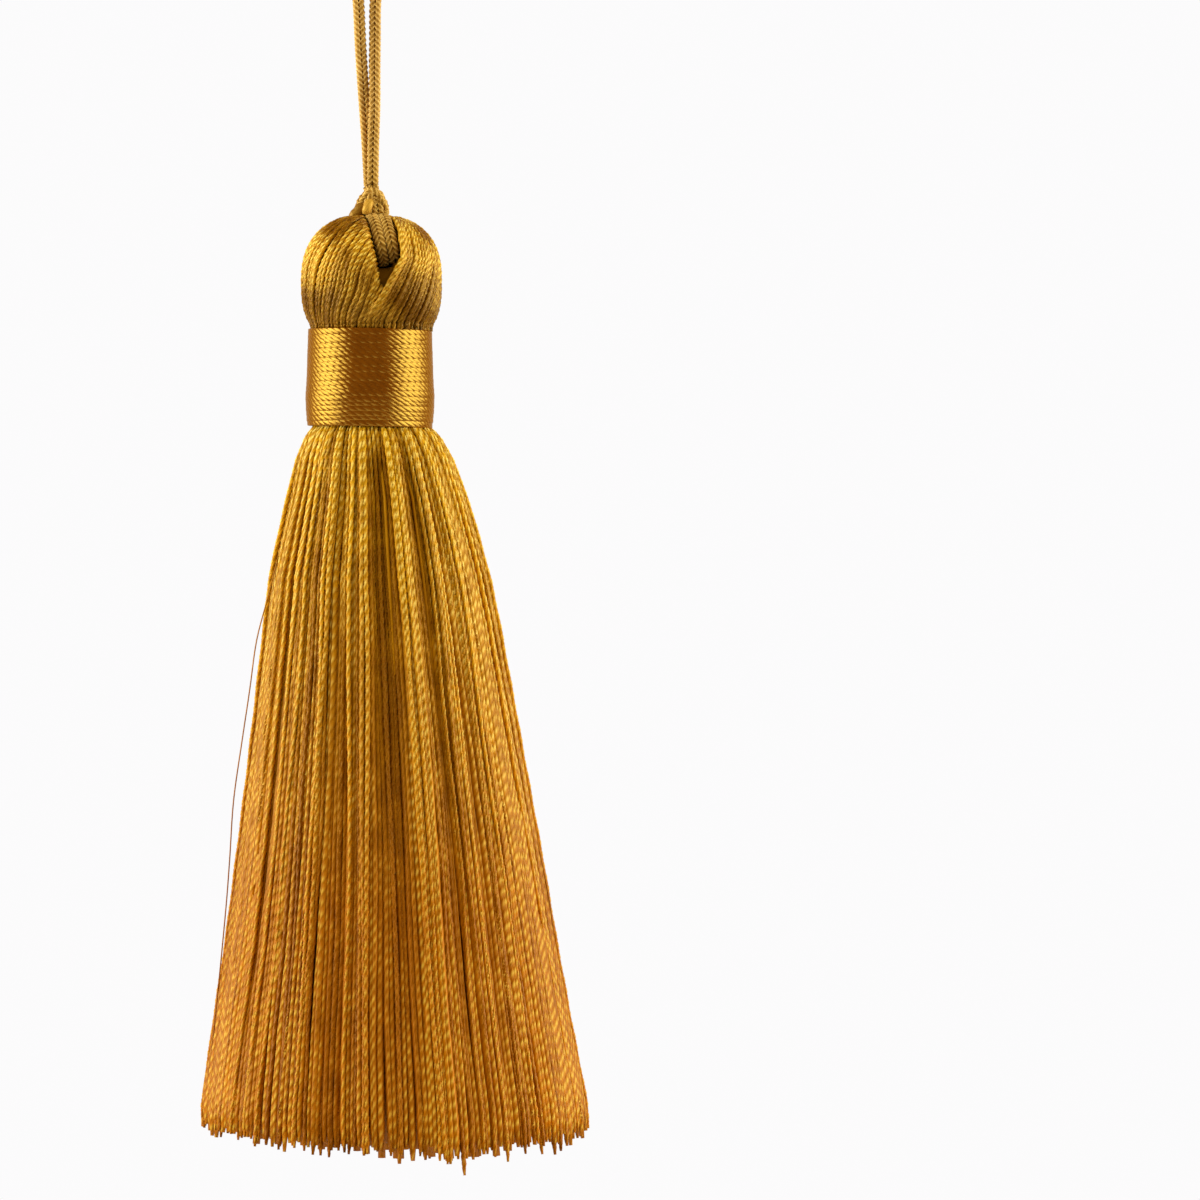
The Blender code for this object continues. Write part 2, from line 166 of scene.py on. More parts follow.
class Bundle:
    """Gathers swept yarns, then makes them one mesh with the attributes that the silk reads.

    tone is how light a yarn is, painted shade and painted light included. strand turns with the twist: its
    thirds are the grooves between plies. around is the share of the way round from the yarn's side, and
    doesn't turn. fibre is the direction that the yarn runs in.
    """

    def __init__(self):
        self.points, self.quads, self.caps = [], [], []
        self.tone, self.fibre, self.strand, self.around = [], [], [], []
        self.count = 0

    def add(self, lines, radius, tone, section=ROUND, side=(0.0, 1.0, 0.0), pitch=None, strand=1.0):
        """Yarns along lines, an (m, n, 3) array.

        tone is one number, one per yarn or one per point. With a pitch the section takes a full
        turn in that many mm. strand is what it reaches once round the section, or the whole
        (m, n, sides + 1) array.
        """
        lines = np.asarray(lines, float)
        m, n, _ = lines.shape
        k = len(section)
        radius = np.broadcast_to(np.asarray(radius, float), (m, n))
        along = unit(np.gradient(lines, axis=1))
        side = np.broadcast_to(np.asarray(side, float), lines.shape)
        side = unit(side - (side * along).sum(-1, keepdims=True) * along)
        up = np.cross(along, side)
        turn = np.zeros((m, n, 1))
        if pitch is not None:
            arc = np.concatenate((np.zeros((m, 1)), np.cumsum(spans(lines), axis=1)), axis=1)
            turn = TAU * (arc / np.asarray(pitch, float).reshape(-1, 1) + rng.random((m, 1)))[:, :, None]
        x = section[:, 0] * np.cos(turn) - section[:, 1] * np.sin(turn)
        y = section[:, 0] * np.sin(turn) + section[:, 1] * np.cos(turn)
        across = x[..., None] * side[:, :, None] + y[..., None] * up[:, :, None]
        ring = lines[:, :, None] + radius[:, :, None, None] * across
        tone = np.asarray(tone, float)
        tone = np.broadcast_to(tone if tone.ndim == 2 else tone[..., None], (m, n))
        if np.ndim(strand) == 0:
            strand = np.broadcast_to(strand * np.arange(k + 1) / k, (m, n, k + 1))
        around = np.arange(k + 1) / k + turn / TAU + rng.uniform(-DASH_JITTER, DASH_JITTER, (m, 1, 1))
        index = self.count + np.arange(m * n * k).reshape(m, n, k)
        self.points.append(ring.reshape(-1, 3))
        self.quads.append(corners(np.concatenate((index, index[:, :, :1]), axis=2)).reshape(-1, 4))
        self.strand.append(corners(strand).ravel())
        self.around.append(corners(around).ravel())
        self.caps += index[:, 0, ::-1].tolist() + index[:, -1].tolist()
        self.tone.append(np.broadcast_to(tone[:, :, None], (m, n, k)).ravel())
        self.fibre.append(np.broadcast_to(along[:, :, None], (m, n, k, 3)).reshape(-1, 3))
        self.count += m * n * k

    def build(self, name, material):
        points = np.concatenate(self.points) * MM
        quads = np.concatenate(self.quads)
        cap_corners = np.array([i for cap in self.caps for i in cap], int)
        loops = np.concatenate((quads.ravel(), cap_corners))
        sizes = np.concatenate((np.full(len(quads), 4), np.array([len(cap) for cap in self.caps], int)))
        mesh = bpy.data.meshes.new(name)
        mesh.vertices.add(len(points))
        mesh.vertices.foreach_set("co", points.ravel())
        mesh.loops.add(len(loops))
        mesh.loops.foreach_set("vertex_index", loops.astype(np.int32))
        mesh.polygons.add(len(sizes))
        mesh.polygons.foreach_set("loop_start", (np.cumsum(sizes) - sizes).astype(np.int32))
        mesh.polygons.foreach_set("use_smooth", np.ones(len(sizes), bool))
        mesh.update(calc_edges=True)
        tone = mesh.attributes.new("tone", "FLOAT", "POINT")
        tone.data.foreach_set("value", np.concatenate(self.tone))
        for attribute, parts in (("strand", self.strand), ("around", self.around)):
            values = np.concatenate((*parts, np.zeros(len(cap_corners))))
            mesh.attributes.new(attribute, "FLOAT", "CORNER").data.foreach_set("value", values)
        fibre = mesh.attributes.new("fibre", "FLOAT_VECTOR", "POINT")
        fibre.data.foreach_set("vector", np.concatenate(self.fibre).ravel())
        print(f"{name}: {(sizes - 2).sum()} triangles")
        return finish_piece(name, mesh, material)


def grid_mesh(name, points, material):
    """A closed tube of rings, (rows, columns, 3), with its ends filled."""
    rows, columns, _ = points.shape
    index = np.arange(rows * columns).reshape(rows, columns)
    after = np.roll(index, -1, axis=1)
    quads = np.stack((index[:-1], index[1:], after[1:], after[:-1]), axis=-1).reshape(-1, 4)
    faces = quads.tolist() + [index[0].tolist(), index[-1][::-1].tolist()]
    mesh = bpy.data.meshes.new(name)
    mesh.from_pydata((points.reshape(-1, 3) * MM).tolist(), [], faces)
    mesh.polygons.foreach_set("use_smooth", np.ones(len(faces), bool))
    mesh.validate()
    return finish_piece(name, mesh, material)


def finish_piece(name, mesh, material):
    obj = bpy.data.objects.new(name, mesh)
    bpy.context.scene.collection.objects.link(obj)
    mesh.materials.append(material)
    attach(obj, "root")
    return obj


# ---- materials ----


class Graph:
    """Short calls for building the nodes of a material or a world."""

    def __init__(self, owner, end):
        owner.use_nodes = True
        self.owner = owner
        self.tree = owner.node_tree
        self.end = self.tree.nodes[end]

    def node(self, kind, inputs=(), **settings):
        node = self.tree.nodes.new(kind)
        for key, value in settings.items():
            setattr(node, key, value)
        for socket, value in dict(inputs).items():
            self.put(node.inputs[socket], value)
        return node

    def put(self, socket, value):
        if isinstance(value, bpy.types.NodeSocket):
            self.tree.links.new(value, socket)
        else:
            socket.default_value = value

    def math(self, operation, a, b=0.0, clamp=False):
        node = self.node("ShaderNodeMath", {0: a, 1: b}, operation=operation, use_clamp=clamp)
        return node.outputs[0]

    def swing(self, value, amount):
        """What a value between 0 and 1 is above or below its middle, times an amount."""
        return self.math("MULTIPLY", self.math("SUBTRACT", value, 0.5), amount)

    def attribute(self, name, output="Fac"):
        return self.node("ShaderNodeAttribute", attribute_name=name).outputs[output]

    def place(self):
        return self.node("ShaderNodeTexCoord").outputs["Object"]

    def ramp(self, factor, stops):
        node = self.node("ShaderNodeValToRGB", {"Fac": factor})
        elements = node.color_ramp.elements
        while len(elements) < len(stops):
            elements.new(0.5)
        for element, (at, colour) in zip(elements, stops):
            element.position = at
            element.color = (*colour, 1.0)
        return node.outputs["Color"]

    def mix(self, factor, a, b, blend="MIX"):
        node = self.node("ShaderNodeMix", data_type="RGBA", blend_type=blend)
        self.put(node.inputs["Factor"], factor)
        self.put(node.inputs["A"], a)
        self.put(node.inputs["B"], b)
        return node.outputs["Result"]

    def noise(self, scale, detail, stretch=(1.0, 1.0, 1.0)):
        mapping = self.node("ShaderNodeMapping", {"Vector": self.place(), "Scale": stretch})
        inputs = {"Vector": mapping.outputs["Vector"], "Scale": scale, "Detail": detail}
        return self.node("ShaderNodeTexNoise", inputs).outputs["Fac"]


TONE_SPAN, TONE_LOWEST = 0.8, 0.1  # a yarn's tone, 0 to 1, as a level of light
# the colour's multiplier from the darkest level to the lightest
SHADES = ((0.1, (0.46, 0.37, 0.25)), (0.5, (1.0, 1.0, 1.0)), (0.9, (1.4, 1.55, 1.7)))
# scale per metre, detail and stretch
FIBRE_NOISE = (1100.0, 3.0, (1.0, 1.0, 0.35))
PATCH_NOISE = (300.0, 1.0)
GROOVE_SHADE_TINT = (0.5, 0.36, 0.2)  # of the second ground colour: painted shade in the grooves between plies
GROOVE_SHADE_POWER = 1.6  # higher is narrower, here and in the three below
# painted highlights, in dashes or along the tops of plies:
CREST_POWER = 4.0
DASH_POWER = 2.0  # along the yarn
ROW_POWER = 6.0  # across it
DASH_LEAN = 0.3  # of the way round the yarn, from one end of a dash to the other
DASH_FROM, DASH_RANGE = 0.2, 0.4  # the level where dashes start, and from there to the fullest ones
FIBRE_RELIEF = 0.2  # of a ply's
FIBRE_ROUGHNESS = 0.2  # swing from fibre to fibre


def dashes(g, level, share, crest, fewer):
    """How much painted highlight each ply has: a short leaning dash where it faces out, where light would
    catch it.
    """
    around = g.attribute("around")
    twist = g.math("SUBTRACT", g.attribute("strand"), around)
    phase = g.math("SUBTRACT", g.math("FRACT", g.math("MULTIPLY", twist, float(PLIES))), 0.5)
    dash = g.math("POWER", g.math("COSINE", g.math("MULTIPLY", phase, math.pi)), DASH_POWER)
    leaning = g.math("ADD", around, g.math("MULTIPLY", phase, DASH_LEAN))
    row = g.math("COSINE", g.math("MULTIPLY", leaning, TAU))
    row = g.math("POWER", g.math("MAXIMUM", row, 0.0), ROW_POWER)
    # towards the second drop the darker yarns lose their dashes, and the light ones keep theirs
    less = g.math("MULTIPLY", share, fewer)
    span = g.math("SUBTRACT", DASH_RANGE / crest, less)
    above = g.math("SUBTRACT", level, g.math("ADD", less, DASH_FROM))
    lit = g.math("DIVIDE", above, span, clamp=True)
    return g.math("MULTIPLY", g.math("MULTIPLY", lit, row), dash)


def silk(
    name, ground, glint, gloss, groove, drops=(50.0, 98.0), shine=(1.0, 0.66, 0.08), ior=2.0,
    roughness=0.40, relief=0.05, crest=0.7, patchy=0.3, grain=0.4, flecks=False, fewer=0.0,
):
    """Lustrous twisted silk.

    ground and glint are pairs of colours, at the first drop and at the second; glint is painted
    highlight. groove is how dark the painted shade is between plies and crest how bright the painted
    highlight is on them. patchy and grain are how far its level swings from place to place and from
    fibre to fibre. With flecks the painted highlight comes in dashes, on fewer yarns at the second drop.
    """
    g = Graph(bpy.data.materials.new(name), "Principled BSDF")
    z = g.node("ShaderNodeSeparateXYZ", {"Vector": g.place()}).outputs["Z"]
    drop = g.math("MULTIPLY", z, -1 / MM)
    share = g.math("DIVIDE", g.math("SUBTRACT", drop, drops[0]), drops[1] - drops[0], clamp=True)
    colour = g.mix(share, (*ground[0], 1.0), (*ground[1], 1.0))
    bright = g.mix(share, (*glint[0], 1.0), (*glint[1], 1.0))
    fibres = g.noise(*FIBRE_NOISE)
    level = g.math("ADD", g.math("MULTIPLY", g.attribute("tone"), TONE_SPAN), TONE_LOWEST)
    level = g.math("ADD", level, g.swing(fibres, grain))
    level = g.math("ADD", level, g.swing(g.noise(*PATCH_NOISE), patchy))
    colour = g.mix(1.0, colour, g.ramp(level, SHADES), "MULTIPLY")
    lobe = g.math("SINE", g.math("MULTIPLY", g.attribute("strand"), PLIES / 2 * TAU))
    lobe = g.math("ABSOLUTE", lobe)
    # painted shade: the colour darkens between plies, towards a darker copy of the ground
    groove_shading = g.math("POWER", g.math("SUBTRACT", 1.0, lobe), GROOVE_SHADE_POWER)
    dark = tuple(a * b for a, b in zip(ground[1], GROOVE_SHADE_TINT))
    colour = g.mix(g.math("MULTIPLY", groove_shading, groove), colour, (*dark, 1.0))
    # painted highlight: the glint colour, in dashes with flecks and along the tops of plies without
    if flecks:
        amount = dashes(g, level, share, crest, fewer)
    else:
        amount = g.math("MULTIPLY", level, 2.0 * crest)
        amount = g.math("MULTIPLY", amount, g.math("POWER", lobe, CREST_POWER))
    colour = g.mix(g.math("MINIMUM", amount, 1.0), colour, bright)
    height = g.math("ADD", lobe, g.math("MULTIPLY", fibres, FIBRE_RELIEF))
    bump = g.node("ShaderNodeBump", {"Height": height, "Strength": 0.8, "Distance": relief * MM})
    for socket, value in {
        "Base Color": colour,
        "Roughness": g.math("ADD", roughness, g.swing(fibres, FIBRE_ROUGHNESS), clamp=True),
        "IOR": ior,
        "Specular IOR Level": gloss,
        "Specular Tint": (*shine, 1.0),
        "Anisotropic": 0.6,
        "Anisotropic Rotation": 0.25,
        "Tangent": g.attribute("fibre", "Vector"),
        "Normal": bump.outputs["Normal"],
    }.items():
        g.put(g.end.inputs[socket], value)
    return g.owner


def even(colour):
    """The same colour at both drops."""
    return colour, colour


YARN_GOLD = silk(
    "yarn_gold",
    ((0.59, 0.285, 0.005), (0.43, 0.123, 0.0003)),
    ((1.0, 0.79, 0.18), (0.68, 0.41, 0.045)),
    gloss=0.15, relief=0.06, groove=0.45, crest=1.0, grain=0.6, flecks=True, fewer=0.15,
)
# the head's colours darken from the first drop to the second: painted shade where the ball turns under
HEAD_GOLD = silk(
    "head_gold",
    ((0.52, 0.23, 0.006), (0.24, 0.09, 0.002)),
    ((1.0, 0.74, 0.13), (0.42, 0.21, 0.02)),
    drops=(33.0, 39.5), gloss=0.35, groove=0.5, crest=1.0, patchy=0.7, grain=1.0, flecks=True,
)
BAND_GOLD = silk(
    "band_gold",
    even((0.19, 0.047, 0.001)),
    even((0.22, 0.06, 0.001)),
    gloss=1.0, ior=2.5, shine=(0.58, 0.385, 0.06), roughness=0.20, relief=0.04, groove=0.3,
    crest=0.3,
)
CORD_GOLD = silk(
    "cord_gold",
    ((0.54, 0.265, 0.05), (0.35, 0.165, 0.018)),
    ((0.98, 0.68, 0.24), (0.80, 0.50, 0.12)),
    drops=(18.0, 27.0), gloss=0.4, roughness=0.42, relief=0.03, groove=0.5, crest=0.8,
)
WRAP_GOLD = silk(
    "wrap_gold",
    even((0.40, 0.19, 0.018)),
    even((0.85, 0.52, 0.10)),
    gloss=0.4, roughness=0.35, relief=0.006, groove=0.08, crest=0.15,
)
# painted shade: the silk of the packed yarn inside; its meshes have no tone, so it takes the darkest shade
SHADOW_GOLD = silk(
    "shadow_gold",
    even((0.62, 0.27, 0.015)),
    even((0.62, 0.27, 0.015)),
    gloss=0.1, roughness=0.7, groove=0.0,
)

# ---- camera and light ----

CAMERA_X, CAMERA_AWAY, CAMERA_DROP = 1.0, 720.0, 66.9
FRAME_WIDTH, FRAME_X = 120.0, 23.25  # of the view at the tassel, and its middle
SENSOR = 36.0

# name, place, size, power
LIGHTS = (
    ("left_box", (-0.60, -0.06, 0.06), (0.86, 0.5), 2.05),
    ("right_box", (0.60, -0.06, 0.06), (0.86, 0.5), 1.80),
    ("top_box", (0.0, -0.25, 0.6), (0.3, 0.3), 0.3),
)
LIGHT_TARGET = np.array((0.0, 0.0, -0.07))
LIGHT_SPREAD = math.radians(90)
LIGHT_COLOUR = (1.0, 0.96, 0.88)

# in reflections the world is bright only at the back: how far back a direction points, and the strength
WORLD_GLOW = {"From Min": 0.35, "From Max": 0.85, "To Min": 0.04, "To Max": 0.8}
# elsewhere it is even: a fill on matt surfaces, and pale where the camera sees it
WORLD_STRENGTHS = (("Is Diffuse Ray", 0.48), ("Is Camera Ray", 0.97))
WORLD_TINT, WORLD_SEEN_TINT = (1.0, 0.90, 0.74, 1.0), (1.0, 0.995, 1.0, 1.0)

FLOOR_Z, FLOOR_REACH, FLOOR_SIDES = -0.26, 0.55, 64
FLOOR_FADE = (0.3, 0.24)  # where it starts, and over what distance


def set_camera():
    data = bpy.data.cameras.new("camera")
    data.sensor_width = SENSOR
    data.lens = SENSOR * CAMERA_AWAY / FRAME_WIDTH
    data.shift_x = (FRAME_X - CAMERA_X) / FRAME_WIDTH
    data.clip_start, data.clip_end = 0.01, 20.0
    camera = bpy.data.objects.new("camera", data)
    camera.location = (CAMERA_X * MM, -CAMERA_AWAY * MM, -CAMERA_DROP * MM)
    camera.rotation_euler = (math.pi / 2, 0.0, 0.0)
    bpy.context.scene.collection.objects.link(camera)
    bpy.context.scene.camera = camera
    bpy.context.scene.view_settings.view_transform = "Standard"


def area_light(name, place, size, power):
    data = bpy.data.lights.new(name, "AREA")
    data.shape = "RECTANGLE"
    data.size, data.size_y = size
    data.energy = power
    data.spread = LIGHT_SPREAD
    data.color = LIGHT_COLOUR
    light = bpy.data.objects.new(name, data)
    light.location = place
    x, y, z = LIGHT_TARGET - np.array(place)
    yaw = math.atan2(y, x) - math.pi / 2
    pitch = math.atan2(z, math.hypot(x, y)) + math.pi / 2
    light.rotation_euler = (pitch, 0.0, yaw)
    bpy.context.scene.collection.objects.link(light)
    return light


def set_lights():
    """Soft boxes to the left and right, and a weak fill from above that leaves no highlight."""
    boxes = [area_light(*row) for row in LIGHTS]
    boxes[-1].visible_glossy = False


def set_world():
    world = bpy.data.worlds.new("pale_studio")
    bpy.context.scene.world = world
    g = Graph(world, "Background")
    direction = g.node("ShaderNodeTexCoord").outputs["Generated"]
    back = g.node("ShaderNodeSeparateXYZ", {"Vector": direction}).outputs["Y"]
    glow = g.node("ShaderNodeMapRange", {"Value": back, **WORLD_GLOW}, interpolation_type="SMOOTHSTEP")
    strength = glow.outputs["Result"]
    path = g.node("ShaderNodeLightPath")
    for ray, value in WORLD_STRENGTHS:
        choice = {"Value": path.outputs[ray], "To Min": strength, "To Max": value}
        strength = g.node("ShaderNodeMapRange", choice).outputs["Result"]
    g.put(g.end.inputs["Strength"], strength)
    g.put(g.end.inputs["Color"], g.mix(path.outputs["Is Camera Ray"], WORLD_TINT, WORLD_SEEN_TINT))


def set_floor():
    """A pale round floor, which fades out at its rim."""
    mesh = bpy.data.meshes.new("floor")
    points = [(*point, FLOOR_Z) for point in (FLOOR_REACH * circle(FLOOR_SIDES)).tolist()]
    mesh.from_pydata(points, [], [tuple(range(FLOOR_SIDES))])
    g = Graph(bpy.data.materials.new("pale_floor"), "Principled BSDF")
    flat = {0: g.place(), 1: (1.0, 1.0, 0.0)}
    flat = g.node("ShaderNodeVectorMath", flat, operation="MULTIPLY").outputs["Vector"]
    far = g.node("ShaderNodeVectorMath", {0: flat}, operation="LENGTH").outputs["Value"]
    start, distance = FLOOR_FADE
    gone = g.math("DIVIDE", g.math("SUBTRACT", far, start), distance, clamp=True)
    g.put(g.end.inputs["Base Color"], (0.8, 0.8, 0.8, 1.0))
    g.put(g.end.inputs["Roughness"], 0.8)
    g.put(g.end.inputs["Alpha"], g.math("SUBTRACT", 1.0, gone))
    mesh.materials.append(g.owner)
    obj = bpy.data.objects.new("floor", mesh)
    bpy.context.scene.collection.objects.link(obj)


set_camera()
set_lights()
set_world()
set_floor()

# ---- the cord ----

LOOP_BASE = 25.4
# right half, from the knot to the top of the bend: x from the loop's axis, y, drop
LOOP_ROUTE = (
    (0.16, -0.56, LOOP_BASE),
    (0.20, -0.55, 23.9),
    (0.32, -0.50, 20.9),
    (0.50, -0.32, 17.4),
    (0.62, -0.12, 14.0),
    (0.73, 0.0, 10.9),
    (0.86, 0.0, 6.9),
    (1.30, 0.0, 4.4),
    (2.00, 0.0, 2.7),
    (2.28, 0.0, 1.35),
    (1.75, 0.0, -0.05),
    (0.90, 0.0, -0.47),
    (0.0, 0.0, -CORD_R),
)
LOOP_STEP = 1.0
# drop, x
LOOP_AXIS = np.array(((0.0, 0.0), (6.9, -0.06), (12.9, 0.05), (16.9, 0.2), (LOOP_BASE, 0.36)))

BRAID_STEP = 0.16
BRAID_LAY = 1.65  # one turn of a column
BRAID_R = 1.07 * CORD_R
# how far out a column is and how thick, as shares of the braid's radius
COLUMN_OUT, COLUMN_R = 0.6, 0.58
COLUMN = PLIED * np.array((0.86, 1.04) * PLIES)[:, None]  # with deeper grooves than a yarn's
COLUMN_TONES = (0.35, 0.7)


def loop_line():
    route = np.array(LOOP_ROUTE)
    axis = table(LOOP_AXIS, route[:, 2])
    right = np.stack((axis + route[:, 0], route[:, 1], -route[:, 2]), axis=1)
    left = np.stack((axis - route[:, 0], -route[:, 1], -route[:, 2]), axis=1)
    return catmull(np.vstack((right, left[-2::-1])), LOOP_STEP)


def braid(bundle, line, radius=BRAID_R, first=(1.0, 0.0, 0.0)):
    """Four columns of strands round a line, which slant left and right in turn and meet in chevrons."""
    line = resample(line, max(12, round(float(spans(line).sum()) / BRAID_STEP)))
    side = transported(line, first)
    up = np.cross(unit(np.gradient(line, axis=0)), side)
    for k in range(4):
        angle = TAU * (k + 0.5) / 4
        out = math.cos(angle) * side + math.sin(angle) * up
        column = line + COLUMN_OUT * radius * out
        lay = BRAID_LAY if k % 2 else -BRAID_LAY
        tone = rng.uniform(*COLUMN_TONES)
        bundle.add(column[None], COLUMN_R * radius, tone, COLUMN, out[None], lay)


def build_loop():
    bundle = Bundle()
    line = loop_line()
    braid(bundle, line, first=(0.0, 1.0, 0.0))
    obj = bundle.build("loop_braid", CORD_GOLD)
    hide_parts("hanging_loop")


build_loop()

# ---- the head ----

# the slit's left and right edges: drop, x from the head's axis
SLIT_LEFT = np.array(((28.4, -0.75), (30.5, -0.35), (33.0, 0.2), (35.1, 0.6), (36.3, 1.0)))
SLIT_RIGHT = np.array(((28.4, 2.2), (30.9, 2.65), (33.0, 2.8), (34.3, 2.05), (36.3, 1.2)))
SLIT_BOTTOM = 36.3

HEAD_YARN_R = 0.25
HEAD_STEPS = 64
HEAD_TOP = 28.32  # where the yarns come out from under the knot
HEAD_PITCH = (2.1, 2.6)
HEAD_SPACING = 1.75 * HEAD_YARN_R  # between yarns side by side
# how full a circle gets before yarns go deeper, how much deeper they go and how far at most
HEAD_FULL, HEAD_CROWD_STEP, HEAD_CROWD_MOST = 0.8, 0.42, 1.1
# slow bends in radians, how many waves of them in a yarn, and the swirls that neighbours share
HEAD_BEND, HEAD_WAVES, HEAD_SWIRL = 0.012, (0.7, 2.2), 0.02
HEAD_ROUGH = 0.1  # how unevenly deep the yarns lie
TOP_IN, TOP_SHARE = 0.6, 0.06  # how deep they start, and over what share of their length they rise
# they go on down inside the band: drops below the head's bottom, and how much narrower
TAIL_DROPS, TAIL_WIDTH = (0.35, 0.8), 0.985

LEFT_YARNS, RIGHT_YARNS = 86, 60
# the left lobe goes from the slit's front edge, share 0, round to its back edge, share 1
EDGE_SHARE = 0.27  # of its yarns, at each end, come out of the slit
EDGE_LOWEST = 36.2  # drop of the first that does
EDGE_IN = 0.03  # how far inside the slit they start, in radians
# share, and the angle at the knot and at the neck
LEFT_TOP = np.array(((EDGE_SHARE, -108), (0.5, -180), (1 - EDGE_SHARE, -250))) * (1, DEG)
LEFT_NECK = np.array(
    ((0, -96), (EDGE_SHARE, -148), (0.5, -210), (1 - EDGE_SHARE, -252), (1, -290))
) * (1, DEG)
# right lobe: drop, then the angle of its front edge yarn, of its middle one and of its back edge one
RIGHT_LOBE = np.array((
    (28.3, -44, 5, 55),
    (29.2, -56, 4, 58),
    (31.0, -64, 1, 62),
    (33.0, -65.5, -3, 66),
    (34.3, -72, -6, 70),
    (36.1, -80, -10, 74),
    (38.4, -91, -16, 73),
    (40.6, -98, -21, 70),
))
RIGHT_STAGGER = 0.3  # every other yarn starts that much lower
# the right lobe laps the left one: how proud its edge stands, over how many yarns, and at which drops
LAP_PROUD, LAP_YARNS = 0.45, 2.5
LAP_DROPS = np.array(((29.5, 0.0), (32.0, 1.0), (37.0, 1.0), (39.0, 0.0)))

# painted light and shade: where the head is lighter or, below zero, darker: x from the head's axis, side
# (-1 front, 1 back), drop, reach and change of tone
PAINTED_SHEEN = (
    (-3.4, -1, 29.6, 1.5, -0.55),
    (-1.6, -1, 28.9, 1.1, -0.60),
    (-1.9, -1, 31.2, 0.9, 0.60),
    (-5.6, -1, 32.0, 1.5, 0.50),
    (-4.9, -1, 34.6, 1.5, 0.45),
    (-1.2, -1, 34.4, 1.3, -0.35),
    (-5.8, -1, 36.6, 1.3, -0.45),
    (-2.4, -1, 37.6, 2.0, -0.30),
    (5.0, -1, 34.0, 4.0, -0.22),
    (3.3, -1, 31.0, 1.4, 0.60),
    (5.2, -1, 29.6, 1.3, -0.60),
    (5.6, -1, 33.4, 1.6, 0.45),
    (2.8, -1, 35.2, 1.1, -0.35),
    (4.0, -1, 37.6, 2.0, -0.45),
    (-3.0, 1, 31.0, 1.8, 0.40),
    (-5.0, 1, 36.0, 1.8, -0.40),
    (0.5, 1, 34.5, 1.6, -0.30),
    (4.0, 1, 32.0, 1.8, 0.45),
    (3.0, 1, 37.5, 2.0, -0.40),
)
PAINTED_SHEEN_STRENGTH, PAINTED_SHEEN_PAST = 1.25, 0.5  # and how far past the middle a patch reaches
HEAD_TONES = (0.25, 0.75)
LAP_PAINTED_LIGHT = 0.5  # painted light: lighter for each mm that a yarn stands proud


def tilt_of(drop):
    """The angle from the head's top at a drop, on the sphere that the ball is a squarer form of."""
    rise = np.clip((HEAD_MID - np.asarray(drop, float)) / HEAD_H, -1, 1)
    return np.arccos(np.sign(rise) * np.abs(rise) ** (1 / HEAD_POWER))


def drop_of(tilt):
    rise = np.cos(tilt)
    return HEAD_MID - HEAD_H * np.sign(rise) * np.abs(rise) ** HEAD_POWER


def head_width(tilt):
    return HEAD_R * np.abs(np.sin(tilt)) ** HEAD_POWER


def head_point(tilt, angle, inset):
    """A point that many mm inside the head's surface."""
    across = (HEAD_R - inset) * np.abs(np.sin(tilt)) ** HEAD_POWER
    cos = np.cos(tilt)
    rise = (HEAD_H - inset) * np.sign(cos) * np.abs(cos) ** HEAD_POWER
    return round_axis(HEAD_X, across, angle, HEAD_MID - rise)


def slit_edge(drop, back):
    """The angle round the head of the slit's left edge, on the front or on the back."""
    across = head_width(tilt_of(drop))
    angle = -np.arccos(np.clip(table(SLIT_LEFT, drop) / across, -1, 1))
    return -angle if back else angle


def ranks(count, offset=0.0):
    """0 to 1 in an order whose every beginning is evenly spread."""
    return (offset + np.arange(count) * (math.sqrt(5) - 1) / 2) % 1


def crowding(rank, width, spacing, full, step):
    """How deep each yarn goes where a circle of that width hasn't room for all of them.

    Those of high rank go in first, from when the circle is full to that share.
    """
    places = TAU * width / spacing
    return step * np.maximum(0, rank[:, None] * len(rank) / places - full)


def painted_sheen(lines):
    """The tone that the head's patches of painted light and shade add at each point of its yarns."""
    change = np.zeros(lines.shape[:2])
    for x, side, drop, reach, amount in PAINTED_SHEEN:
        away = (lines[..., 0] - HEAD_X - x) ** 2 + (lines[..., 2] + drop) ** 2
        change += amount * np.exp(-away / reach**2) * (side * lines[..., 1] > -PAINTED_SHEEN_PAST)
    return change


def left_lobe(share, end_tilt):
    """Yarns that rise out of the slit's edges and from under the knot, and slant down to the neck."""
    slit_tilt, top_tilt = float(tilt_of(EDGE_LOWEST)), float(tilt_of(HEAD_TOP))
    for i in range(LEFT_YARNS):
        u = (i + 0.5) / LEFT_YARNS
        back = u > 0.5
        past_edge = (1 - u if back else u) / EDGE_SHARE
        if past_edge < 1:
            start_tilt = slit_tilt + (top_tilt - slit_tilt) * past_edge
            start = slit_edge(drop_of(start_tilt), back) - (TAU + EDGE_IN if back else -EDGE_IN)
        else:
            start_tilt = top_tilt
            start = table(LEFT_TOP, u)
        end = table(LEFT_NECK, u)
        yield start_tilt + (end_tilt - start_tilt) * share, start + (end - start) * share**0.9


def right_lobe(share, end_tilt):
    """Yarns from under the knot that fan out over the left lobe at the front."""
    for i in range(RIGHT_YARNS):
        v = 2 * (i + 0.3) / RIGHT_YARNS  # 0 at the front edge, 1 in the middle, 2 at the back edge
        start_tilt = float(tilt_of(HEAD_TOP + RIGHT_STAGGER * (i % 2)))
        tilt = start_tilt + (end_tilt - start_tilt) * share
        columns = [table(RIGHT_LOBE, drop_of(tilt), c) for c in (1, 2, 3)]
        low = min(int(v), 1)
        angle = columns[low] + (columns[low + 1] - columns[low]) * (v - low)
        yield tilt, angle * DEG


def wandered(angles, share):
    """The yarns' angles, with bends and swirls that fade out at both ends."""
    count = len(angles)
    bend = HEAD_BEND * np.sin(TAU * (share * rng.uniform(*HEAD_WAVES, (count, 1)) + rng.random((count, 1))))
    swirl = HEAD_SWIRL * np.sin(3 * angles + 5 * share) * np.sin(7 * angles - 3 * share)
    return angles + (bend + swirl) * np.sin(math.pi * share)


